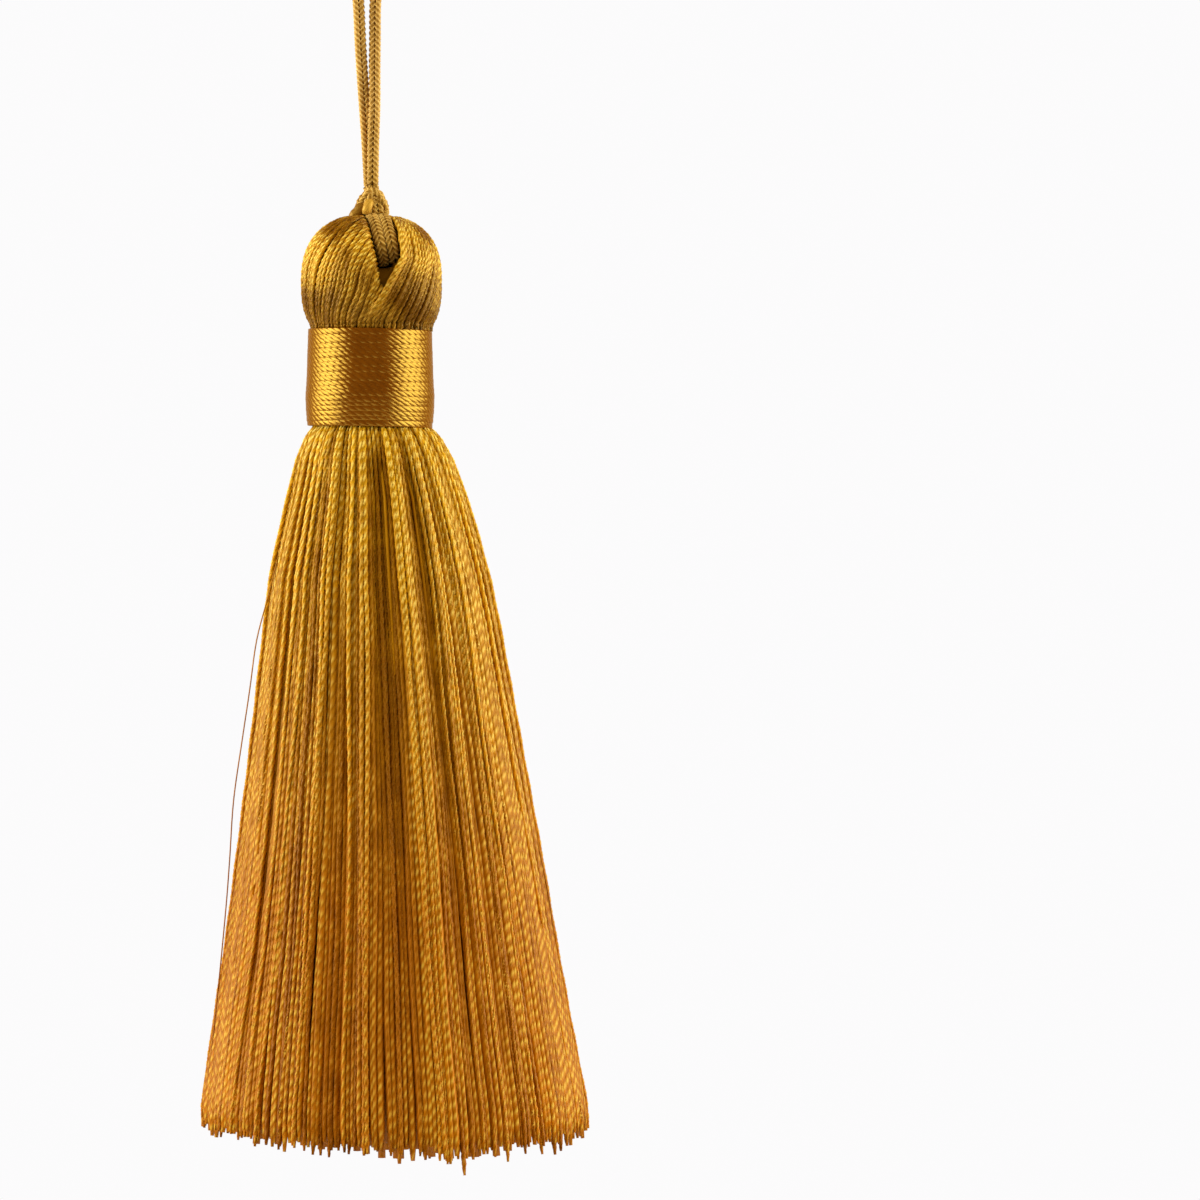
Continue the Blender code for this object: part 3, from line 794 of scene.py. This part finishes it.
def build_head():
    share = shares(HEAD_STEPS)
    end_tilt = float(tilt_of(HEAD_BOTTOM))
    yarns = np.array([*left_lobe(share[0], end_tilt), *right_lobe(share[0], end_tilt)])
    tilts, angles = yarns[:, 0], yarns[:, 1]
    count = len(tilts)
    width = head_width(tilts)
    depth = crowding(ranks(count), width, HEAD_SPACING, HEAD_FULL, HEAD_CROWD_STEP)
    depth = np.minimum(depth, HEAD_CROWD_MOST)
    angles = wandered(angles, share)
    start_in = TOP_IN * np.maximum(0, 1 - share / TOP_SHARE) ** 2
    order = np.arange(count)[:, None] - LEFT_YARNS
    proud = LAP_PROUD * np.where(order >= 0, np.exp(-((np.maximum(order, 0) / LAP_YARNS) ** 2)), 0)
    proud = proud * table(LAP_DROPS, drop_of(tilts))
    depth = np.where(proud > 0.05, 0, depth) - proud  # what laps isn't crowded in
    inset = HEAD_YARN_R + depth + start_in + HEAD_ROUGH * rng.random((count, 1))
    lines = head_point(tilts, angles, inset)
    tail = lines[:, -1:] - np.array((0, 0, 1.0)) * np.array(TAIL_DROPS)[None, :, None]
    centre = np.array((BAND_X, 0.0, 0.0))
    tail = centre + (tail - centre) * np.array((TAIL_WIDTH, TAIL_WIDTH, 1.0))
    lines = np.concatenate((lines, tail), axis=1)
    side = lines - np.array((HEAD_X, 0.0, -HEAD_MID))
    # painted light and shade from the patches
    tone = rng.uniform(*HEAD_TONES, count)[:, None] + PAINTED_SHEEN_STRENGTH * painted_sheen(lines)
    # painted light on the yarns that stand proud where the right lobe laps the left
    tone = np.clip(tone + LAP_PAINTED_LIGHT * np.pad(proud, ((0, 0), (0, len(TAIL_DROPS)))), 0, 1)
    bundle = Bundle()
    bundle.add(lines, HEAD_YARN_R, tone, PLIED, side, rng.uniform(*HEAD_PITCH, count))
    bundle.build("head_yarns", HEAD_GOLD)


build_head()

CORE_INSET = 0.75
CORE_COLUMNS = 144
CORE_HEAD = np.linspace(28.8, HEAD_BOTTOM, 46)
CORE_NECK = np.linspace(40.0, 50.5, 14)
NECK_R = 5.5
SLIT_MARGIN, SLIT_END = 0.1, 0.3  # how much wider and shorter the slit is in the core
FLOOR_SLOPE = 0.2  # how level the slit's floor may get towards the sides
# drop, and how far the slit's floor is from the middle
SLIT_FLOOR = np.array(((30.0, 1.3), (33.2, 2.2), (34.0, 4.7), (35.2, 5.8)))


def core_ring(drop, angle):
    """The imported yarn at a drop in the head, cut back in the slits."""
    width = float(head_width(tilt_of(drop))) - CORE_INSET
    x = width * np.cos(angle)
    inside = x > table(SLIT_LEFT, drop) - SLIT_MARGIN
    inside &= x < table(SLIT_RIGHT, drop) + SLIT_MARGIN
    inside &= drop < SLIT_BOTTOM - SLIT_END
    floor = table(SLIT_FLOOR, drop) / np.maximum(np.abs(np.sin(angle)), FLOOR_SLOPE)
    reach = np.where(inside, np.minimum(width, floor), width)
    return round_axis(HEAD_X, reach, angle, drop)


def build_core():
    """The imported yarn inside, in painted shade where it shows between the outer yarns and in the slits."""
    angle = np.arange(CORE_COLUMNS) * TAU / CORE_COLUMNS
    rings = [core_ring(drop, angle) for drop in CORE_HEAD]
    rings += [round_axis(BAND_X, NECK_R, angle, drop) for drop in CORE_NECK]
    grid_mesh("packed_yarn", np.array(rings), SHADOW_GOLD)


build_core()

# ---- the neck band ----

# share of the way down, radius
BAND_RADII = np.array(
    ((0.0, 6.2), (0.25, 6.28), (0.5, 6.34), (0.7, 6.47), (0.85, 6.42), (0.95, 6.32), (1.0, 6.22))
)
BAND_R = 6.2
BAND_PITCH = 0.47
BAND_END = 0.25  # from each edge to the middle of the last turn
BAND_POINTS = 4.0  # for each mm along the thread
# the thread lies flat and laps the next turn: out from the band, down
BAND_SECTION = np.array(
    ((-0.1, -0.39), (0.0, -0.37), (0.045, -0.29), (0.055, 0.0), (0.045, 0.29), (0.0, 0.37), (-0.1, 0.39))
)
BAND_SEAT = 0.07  # the section's middle is that far inside the band's radius
# the thread wavers up and down: how far, waves in a turn and start
BAND_WAVERS = ((0.04, 1.37, 0.0), (0.03, 0.61, 1.0))
PLY_LENGTH = 0.8  # along the thread
PLY_SLANT = 1.5  # along the thread for each mm down
TURN_PLIES = 49  # in a turn, so that the plies of each turn nearly meet those of the next
TURN_UNEVEN = 0.012
PLY_SHIFT = 0.3  # of a ply, unevenly, with this many such places in a turn:
SHIFTS = 4
PLY_PROUD = 0.02


def build_band():
    height = BAND_BOTTOM - BAND_TOP - 2 * BAND_END
    turns = height / BAND_PITCH
    count = round(turns * TAU * BAND_R * BAND_POINTS)
    share = np.linspace(0, 1, count)
    angle = share * turns * TAU
    lap = angle / TAU
    uneven = rng.uniform(-TURN_UNEVEN, TURN_UNEVEN, int(turns) + 3)
    reach = table(BAND_RADII, share) - BAND_SEAT + np.interp(lap, np.arange(len(uneven)), uneven)
    drop = BAND_TOP + BAND_END + share * height
    for size, waves, start in BAND_WAVERS:
        drop = drop + size * np.sin(angle * waves + start)
    plies = (TURN_PLIES - BAND_PITCH * PLY_SLANT / PLY_LENGTH) * lap
    plies = plies + np.interp(lap * SHIFTS, np.arange(100), rng.uniform(-PLY_SHIFT, PLY_SHIFT, 100))
    bumps = rng.uniform(0.0, PLY_PROUD, int(plies[-1]) + 3)
    reach = reach + np.interp(plies, np.arange(len(bumps)), bumps)
    line = round_axis(BAND_X, reach, angle, drop)
    up = np.append(BAND_SECTION[:, 1], BAND_SECTION[0, 1])
    strand = (plies[:, None] - up * PLY_SLANT / PLY_LENGTH) / PLIES
    bundle = Bundle()
    bundle.add(line[None], 1.0, 0.5, BAND_SECTION, outward(angle)[None], strand=strand[None])
    piece = bundle.build("band_winding", BAND_GOLD)
    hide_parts("neck_band")


build_band()

# ---- the skirt ----

SURFACE_YARNS, SURFACE_STEPS, SURFACE_PIECES = 240, 204, 4
UNDER_YARNS, UNDER_STEPS = 200, 40
DEEP_YARNS, DEEP_STEPS = 400, 10
YARN_R = 0.27
YARN_INSET = 0.8 * YARN_R
YARN_PITCH = (3.1, 3.7)
UNDER_PITCH = 3.4  # only drawn: these have no room for real plies
UNDER_R = 1.4 * YARN_R
DEEP_R = 0.019  # of the skirt's half width
SKIRT_START = 48.9
SKIRT_SPACING, SKIRT_FULL, SKIRT_CROWD_STEP = 0.62, 0.85, 0.45  # as in the head
# the layers under the surface: how much higher their cut tips are, and their places as shares of the width
UNDER_SHORTER, UNDER_REACH = 0.7, 0.92
DEEP_SHORTER, DEEP_REACH = 1.1, 0.93
# most yarns lie near the surface, some deeper and a few proud of it
DEPTHS, SUNK_DEPTHS, PROUD_DEPTH = (0, 0.25), (0.3, 0.6), -0.2
SUNK_SHARE, PROUD_SHARE = 0.3, 0.14
UNDER_DEPTHS = (0.12, 0.3)
DEPTH_FROM, DEPTH_OVER, DEPTH_LOST = 49.5, 8, 0.5  # below the band they reach it, and lose half by the hem
# how unevenly spaced they are, in steps, how far they drift by the hem, in radians, and their waves
JITTER, UNDER_JITTER = 0.3, 0.2
DRIFT, PROUD_DRIFT, UNDER_DRIFT, DRIFT_POWER = 0.02, 0.04, 0.008, 1.3
WAVE, UNDER_WAVE, RIPPLE = 0.14, 0.08, 0.03
# waves in a yarn, from and to, and how soon they grow below the band
WAVE_PACE, RIPPLE_PACE = (0.75, 2.5, 3), (9, 16, 4)
FOLD_GROWTH = 12
YARN_SIZES = (0.85, 1.1)
# share of a yarn's length, share of its radius
TAPER = np.array(((0.0, 0.85), (0.03, 1.0), (0.985, 1.0), (1.0, 0.5)))
# a surface yarn's tone under the band, how much darker it is at the hem, its painted light where it is
# proud, and how far it varies between patches and between yarns, which are more alike at the hem
TONE, TONE_FALL, PROUD_PAINTED_LIGHT, TONE_PATCHES, TONE_YARNS, TONE_ALIKE = 0.51, 0.13, 0.35, 0.16, 0.14, 0.3
TONE_PATCH_COUNT = 60
# the under layer's tones, and how much lighter it gets by the hem: painted light in the gaps between yarns
UNDER_TONES, UNDER_PAINTED_LIGHT = (0.35, 0.6), 0.2
DEEP_TONE, DEEP_TONE_SPAN = 0.55, 0.3
STRAY_TONE = 0.3
# painted shade, darker for each mm into a fold and lighter on a ridge: near the band, at the hem
PAINTED_FOLD_SHADE = (0.85, 0.5)
# valleys and, below zero, ridges between groups of yarns, round the skirt: the middle and the half width in
# degrees (-90 faces the front), the depth near the band and the depth at the hem
FOLDS = (
    (-88, 8, 1.1, 0.4),
    (-66, 5, 0.85, 0.15),
    (-107, 8, 0.25, 0.75),
    (-74, 3.5, -0.25, -0.3),
    (-54, 3, 0.4, 0.2),
    (-142, 6, 0.4, 0.3),
    (-164, 6, 0.2, 0.25),
    (-20, 6, 0.2, 0.25),
    (14, 6, 0.5, 0.5),
    (45, 8, 0.8, 0.3),
    (82, 10, 0.3, 0.8),
    (104, 4, -0.25, -0.3),
    (125, 7, 0.7, 0.4),
    (158, 6, 0.4, 0.5),
)
# across the skirt, from -1 on the left to 1 on the right: the drop of the hem as the camera sees it
HEM = np.array((
    (-1.0, 118.4),
    (-0.93, 119.5),
    (-0.75, 121.1),
    (-0.45, 121.8),
    (-0.1, 122.3),
    (0.2, 122.9),
    (0.55, 122.2),
    (0.8, 121.2),
    (0.93, 120.1),
    (1.0, 119.3),
))
HEM_R = 19  # its front is that much nearer the camera
# the cut is uneven: by how much, which share of yarns is longer and by how much, and the limits of it all
CUT_UNEVEN, LONG_SHARE, LONG_BY, CUT_LIMITS = 0.26, 0.13, (0.3, 1.5), (-2.8, 1.3)
# stray filaments, from the yarn they leave to their tip: x, y, drop
STRAY_R, STRAY_STEP = 0.075, 1.0
STRAYS = (
    (
        (-8.9, -1.5, 62.5), (-9.9, -1.8, 66.5), (-11.05, -2.0, 70.9), (-11.75, -2.1, 75.9),
        (-12.5, -2.1, 80.9), (-13.35, -2.2, 86.9), (-13.75, -2.2, 92.9), (-14.2, -2.4, 98.6),
        (-15.3, -2.6, 109.7), (-16.2, -2.6, 116.9),
    ),
    (
        (-11.6, 1.0, 86.0), (-12.8, 1.2, 92.9), (-14.0, 1.4, 101.0), (-15.0, 1.5, 108.0),
        (-15.7, 1.4, 114.5),
    ),
    ((15.2, -1.5, 84.0), (16.6, -1.8, 89.5), (17.6, -2.0, 94.0), (18.3, -2.0, 98.0), (18.7, -1.8, 101.5)),
    ((3.5, 13.2, 78.0), (3.9, 15.2, 86.0), (4.6, 17.0, 97.0), (5.6, 18.2, 107.0), (6.1, 18.9, 113.0)),
    ((-8.5, 9.5, 74.0), (-10.0, 11.4, 84.0), (-11.4, 12.6, 95.0), (-12.6, 13.4, 106.0)),
)


def hem_drops(x_share, y_share):
    """The drop of each yarn's cut tip: the hem as the camera sees it, never quite even."""
    m = len(x_share)
    seen = table(HEM, x_share)
    away = (CAMERA_AWAY - HEM_R * np.maximum(0, -y_share)) / CAMERA_AWAY
    drop = CAMERA_DROP + (seen - CAMERA_DROP) * away
    drop = drop + rng.normal(0, CUT_UNEVEN, m) + (rng.random(m) < LONG_SHARE) * rng.uniform(*LONG_BY, m)
    return np.clip(drop, seen + CUT_LIMITS[0], seen + CUT_LIMITS[1])


def fold_depth(angle, share):
    """How far inside the skirt's outline the folds take a yarn."""
    depth = 0.0
    for middle, half, upper, hem in FOLDS:
        away = (angle - middle * DEG + math.pi) % TAU - math.pi
        depth = depth + np.exp(-((away / (half * DEG)) ** 2)) * (upper + (hem - upper) * share)
    return depth * np.clip(share * FOLD_GROWTH, 0, 1)


def painted_fold_shade(angle, steps):
    """The folds' painted shade: how much darker they make each point of yarns with that many steps."""
    share = shares(steps)
    upper, hem = PAINTED_FOLD_SHADE
    return fold_depth(angle[:, None], share) * (upper + (hem - upper) * share)


def waver(m, size, share, slow, fast, growth):
    """A wave down each of m yarns, slow to fast turns of it, which grows from nothing at the band."""
    phase, pace = rng.random((m, 1)) * TAU, rng.uniform(slow, fast, (m, 1))
    return size * np.sin(pace * share * TAU + phase) * np.clip(share * growth, 0, 1)


def fanned(angle, depth, tips, steps, drift, wave, rank):
    """Yarns that follow the skirt's outline, each depth mm inside it."""
    m = len(angle)
    share = shares(steps)
    drop = SKIRT_START + share * (tips[:, None] - SKIRT_START)
    width = table(SKIRT, drop, 2)
    crowd = crowding(rank, width, SKIRT_SPACING, SKIRT_FULL, SKIRT_CROWD_STEP)
    below_band = np.clip((drop - DEPTH_FROM) / DEPTH_OVER, 0, 1)
    reach = width - YARN_INSET - depth[:, None] * below_band * (1 - DEPTH_LOST * share) - crowd
    turn = angle[:, None] + drift[:, None] * share**DRIFT_POWER
    reach = reach - fold_depth(turn, share)
    turn = turn + waver(m, wave / np.maximum(width, 1), share, *WAVE_PACE)
    reach = reach + waver(m, RIPPLE, share, *RIPPLE_PACE)
    return round_axis(table(SKIRT, drop), reach, turn, drop)


def tapered(m, steps, radius):
    """The yarns' radius: a little thinner under the band and at the cut tip."""
    return table(TAPER, shares(steps)) * radius * rng.uniform(*YARN_SIZES, (m, 1))


def spread_angles(m, jitter):
    """Angles round the skirt, each off its even place by up to that share of a step."""
    return (np.arange(m) + rng.uniform(-jitter, jitter, m)) * TAU / m


def build_surface_yarns():
    """The yarns on the outside, in pieces."""
    m, steps = SURFACE_YARNS, SURFACE_STEPS
    angle = spread_angles(m, JITTER)
    sunk = rng.random(m) < SUNK_SHARE
    depth = np.where(sunk, rng.uniform(*SUNK_DEPTHS, m), rng.uniform(*DEPTHS, m))
    proud = rng.random(m) < PROUD_SHARE
    depth = np.where(proud, PROUD_DEPTH, depth)
    tips = hem_drops(np.cos(angle), np.sin(angle))
    drift = rng.normal(0, DRIFT, m) + proud * rng.normal(0, PROUD_DRIFT, m)
    lines = fanned(angle, depth, tips, steps, drift, WAVE, np.where(proud, 0, ranks(m)))
    radius = tapered(m, steps, YARN_R)
    pitch = rng.uniform(*YARN_PITCH, m)
    patches = rng.normal(0, TONE_PATCHES, TONE_PATCH_COUNT + 1)
    patches = np.interp(angle, np.arange(TONE_PATCH_COUNT + 1) * TAU / TONE_PATCH_COUNT, patches)
    # painted shade, darker into the folds
    folds = painted_fold_shade(angle, steps)
    share = shares(steps)
    # painted light on the yarns that stand proud
    tone = TONE - TONE_FALL * share + (patches + PROUD_PAINTED_LIGHT * proud)[:, None] - folds
    tone = tone + rng.normal(0, TONE_YARNS, m)[:, None] * (1 - TONE_ALIKE * share)
    tone = np.clip(tone, 0, 1)
    side = outward(angle)[:, None]
    for k in range(SURFACE_PIECES):
        rows = slice(k * m // SURFACE_PIECES, (k + 1) * m // SURFACE_PIECES)
        bundle = Bundle()
        bundle.add(lines[rows], radius[rows], tone[rows], PLIED, side[rows], pitch[rows])
        piece = bundle.build(f"skirt_yarns_{k + 1}", YARN_GOLD)
        if k == 0:
            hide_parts("hank")


def build_under_yarns():
    """A layer just behind them."""
    m, steps = UNDER_YARNS, UNDER_STEPS
    angle = spread_angles(m, UNDER_JITTER)
    tips = hem_drops(UNDER_REACH * np.cos(angle), UNDER_REACH * np.sin(angle)) - UNDER_SHORTER
    depth = rng.uniform(*UNDER_DEPTHS, m)
    drift = rng.normal(0, UNDER_DRIFT, m)
    rank = 0.6 + 0.4 * ranks(m, 0.3)  # high, as the surface yarns find room first
    lines = fanned(angle, depth, tips, steps, drift, UNDER_WAVE, rank)
    # painted shade, darker into the folds
    folds = painted_fold_shade(angle, steps)
    # painted light that grows towards the hem
    tone = rng.uniform(*UNDER_TONES, m)[:, None] + UNDER_PAINTED_LIGHT * shares(steps) - folds
    tone = np.clip(tone, 0, 1)
    twist = (SKIRT_START + lines[:, :, 2]) / UNDER_PITCH + rng.random((m, 1))
    strand = np.arange(len(SQUARE) + 1) / len(SQUARE) + twist[:, :, None]
    bundle = Bundle()
    radius = tapered(m, steps, UNDER_R)
    bundle.add(lines, radius, tone, SQUARE, outward(angle)[:, None], strand=strand)
    bundle.build("skirt_under_yarns", YARN_GOLD)


def build_deep_yarns():
    """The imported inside, which shows between them and at the hem."""
    m = DEEP_YARNS
    radial = np.sqrt((np.arange(m) + 0.5) / m) * DEEP_REACH
    angle = np.arange(m) * math.pi * (3 - math.sqrt(5))
    tips = hem_drops(radial * np.cos(angle), radial * np.sin(angle)) - DEEP_SHORTER
    drop = SKIRT_START + shares(DEEP_STEPS) * (tips[:, None] - SKIRT_START)
    width = table(SKIRT, drop, 2)
    lines = round_axis(table(SKIRT, drop), radial[:, None] * width, angle[:, None], drop)
    bundle = Bundle()
    tone = DEEP_TONE + DEEP_TONE_SPAN * rng.random(m)
    bundle.add(lines, DEEP_R * width, tone, SQUARE, strand=0.0)
    bundle.build("skirt_deep_yarns", YARN_GOLD)


def build_strays():
    """Single filaments that have come away from the yarns."""
    bundle = Bundle()
    for stray in STRAYS:
        line = catmull(np.array(stray) * (1, 1, -1), STRAY_STEP)
        radius = np.interp(np.linspace(0, 1, len(line)), (0, 0.9, 1), (STRAY_R, STRAY_R, 0.4 * STRAY_R))
        bundle.add(line[None], radius[None], STRAY_TONE)
    bundle.build("stray_filaments", YARN_GOLD)


build_surface_yarns()
build_under_yarns()
build_deep_yarns()
build_strays()

# ---- the knot and the sling ----

# the sling's front half, from the knot to the middle of the head: x from the head's axis, y, drop
SLING_ROUTE = (
    (0.40, -0.2, 28.1),
    (0.60, -1.3, 28.85),
    (0.88, -3.2, 29.5),
    (1.35, -4.9, 31.3),
    (1.65, -4.3, 32.8),
    (1.75, -2.1, 34.2),
    (1.8, 0.0, 34.6),
)
SLING_PITCH = 1.14  # between its two cords
# the knot's strands: x from the head's axis, y, drop
KNOT_BRAIDS = (
    (
        (-0.40, -0.30, 26.1), (-0.05, -0.75, 26.1), (0.42, -0.95, 26.35), (0.82, -0.80, 26.9),
        (1.15, -0.50, 27.55), (1.22, 0.15, 28.0), (0.8, 0.8, 28.1), (0.0, 0.95, 27.2),
        (-0.5, 0.6, 26.5),
    ),
    (
        (0.35, -0.70, 26.0), (-0.15, -0.90, 26.45), (-0.62, -0.80, 27.1), (-1.05, -0.70, 27.8),
        (-1.3, -0.3, 28.4),
    ),
    ((0.6, 0.1, 26.4), (0.75, 0.6, 26.9), (0.2, 1.0, 27.6), (-0.6, 0.9, 28.1), (-1.1, 0.5, 28.4)),
    ((0.45, 0.55, 25.9), (-0.15, 0.75, 26.3), (-0.70, 0.55, 26.8), (-0.98, 0.20, 27.4), (-1.1, 0.0, 28.3)),
)
# the loop's two cords inside the knot: x, y and drop of their middle, then each one's way from it in x and y
STANDING_CORDS = (
    (0.36, 0.0, LOOP_BASE + 0.02, 0.16, -0.56),
    (0.55, -0.75, 26.9, 0.3, 0.0),
    (0.85, -0.95, 28.4, 0.3, 0.0),
)
# the smooth wraps over the knot: radius, tone and points
KNOT_WRAPS = (
    (0.30, 0.85, ((-0.50, -0.10, 26.0), (-0.28, -0.60, 25.85), (0.05, -0.76, 25.9), (0.45, -0.60, 26.05))),
    (0.62, 0.0, ((-0.70, -0.50, 27.2), (-1.02, -0.75, 27.7), (-1.36, -0.75, 28.2), (-2.0, -0.55, 28.75))),
    (0.46, 0.95, ((0.02, -0.95, 26.9), (-0.22, -1.25, 27.3), (-0.42, -1.40, 27.8), (-0.62, -1.35, 28.4))),
)
# share of a wrap's length, share of its radius
WRAP_TAPER = np.array(((0, 0.35), (0.1, 0.75), (0.25, 1.0), (0.8, 1.0), (1.0, 0.7)))
WRAP_PITCH, WRAP_STRAND = 9.0, 4.0
# drop, radius
KNOT_CORE = ((25.9, 0.5), (26.4, 0.75), (27.0, 1.05), (27.9, 1.2), (28.6, 0.9))
KNOT_SIDES = 16
SLING_STEP, KNOT_STEP, STANDING_STEP, WRAP_STEP = 0.4, 0.2, 0.3, 0.06


def from_head_axis(rows, offset=0.0):
    """Points from rows of x from the head's axis, y and drop."""
    return np.array([(HEAD_X + x + offset, y, -drop) for x, y, drop in rows])


def build_knot_braid():
    """The sling, the knot's strands and the loop's cords in it: all of the part's cord below the loop."""
    bundle = Bundle()
    for offset in (-SLING_PITCH / 2, SLING_PITCH / 2):
        front = from_head_axis(SLING_ROUTE, offset)
        back = front[-2::-1] * (1, -1, 1)
        braid(bundle, catmull(np.vstack((front, back)), SLING_STEP))
    for strand in KNOT_BRAIDS:
        braid(bundle, catmull(from_head_axis(strand), KNOT_STEP), CORD_R)
    for way in (1, -1):
        line = [(x + way * out_x, y + way * out_y, -drop) for x, y, drop, out_x, out_y in STANDING_CORDS]
        braid(bundle, catmull(line, STANDING_STEP), CORD_R)
    piece = bundle.build("knot_braid", CORD_GOLD)
    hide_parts("knot")


def build_knot_wraps():
    bundle = Bundle()
    for radius, tone, strand in KNOT_WRAPS:
        line = catmull(from_head_axis(strand), WRAP_STEP)
        radius = radius * table(WRAP_TAPER, shares(len(line)))
        bundle.add(line[None], radius, tone, SATIN, pitch=WRAP_PITCH, strand=WRAP_STRAND)
    bundle.build("knot_wraps", WRAP_GOLD)


def build_knot_inside():
    angle = np.arange(KNOT_SIDES) * TAU / KNOT_SIDES
    rings = [round_axis(HEAD_X, radius, angle, drop) for drop, radius in KNOT_CORE]
    # the knot's inside, in painted shade where it shows between the strands
    grid_mesh("knot_inside", np.array(rings), SHADOW_GOLD)


build_knot_braid()
build_knot_wraps()
build_knot_inside()
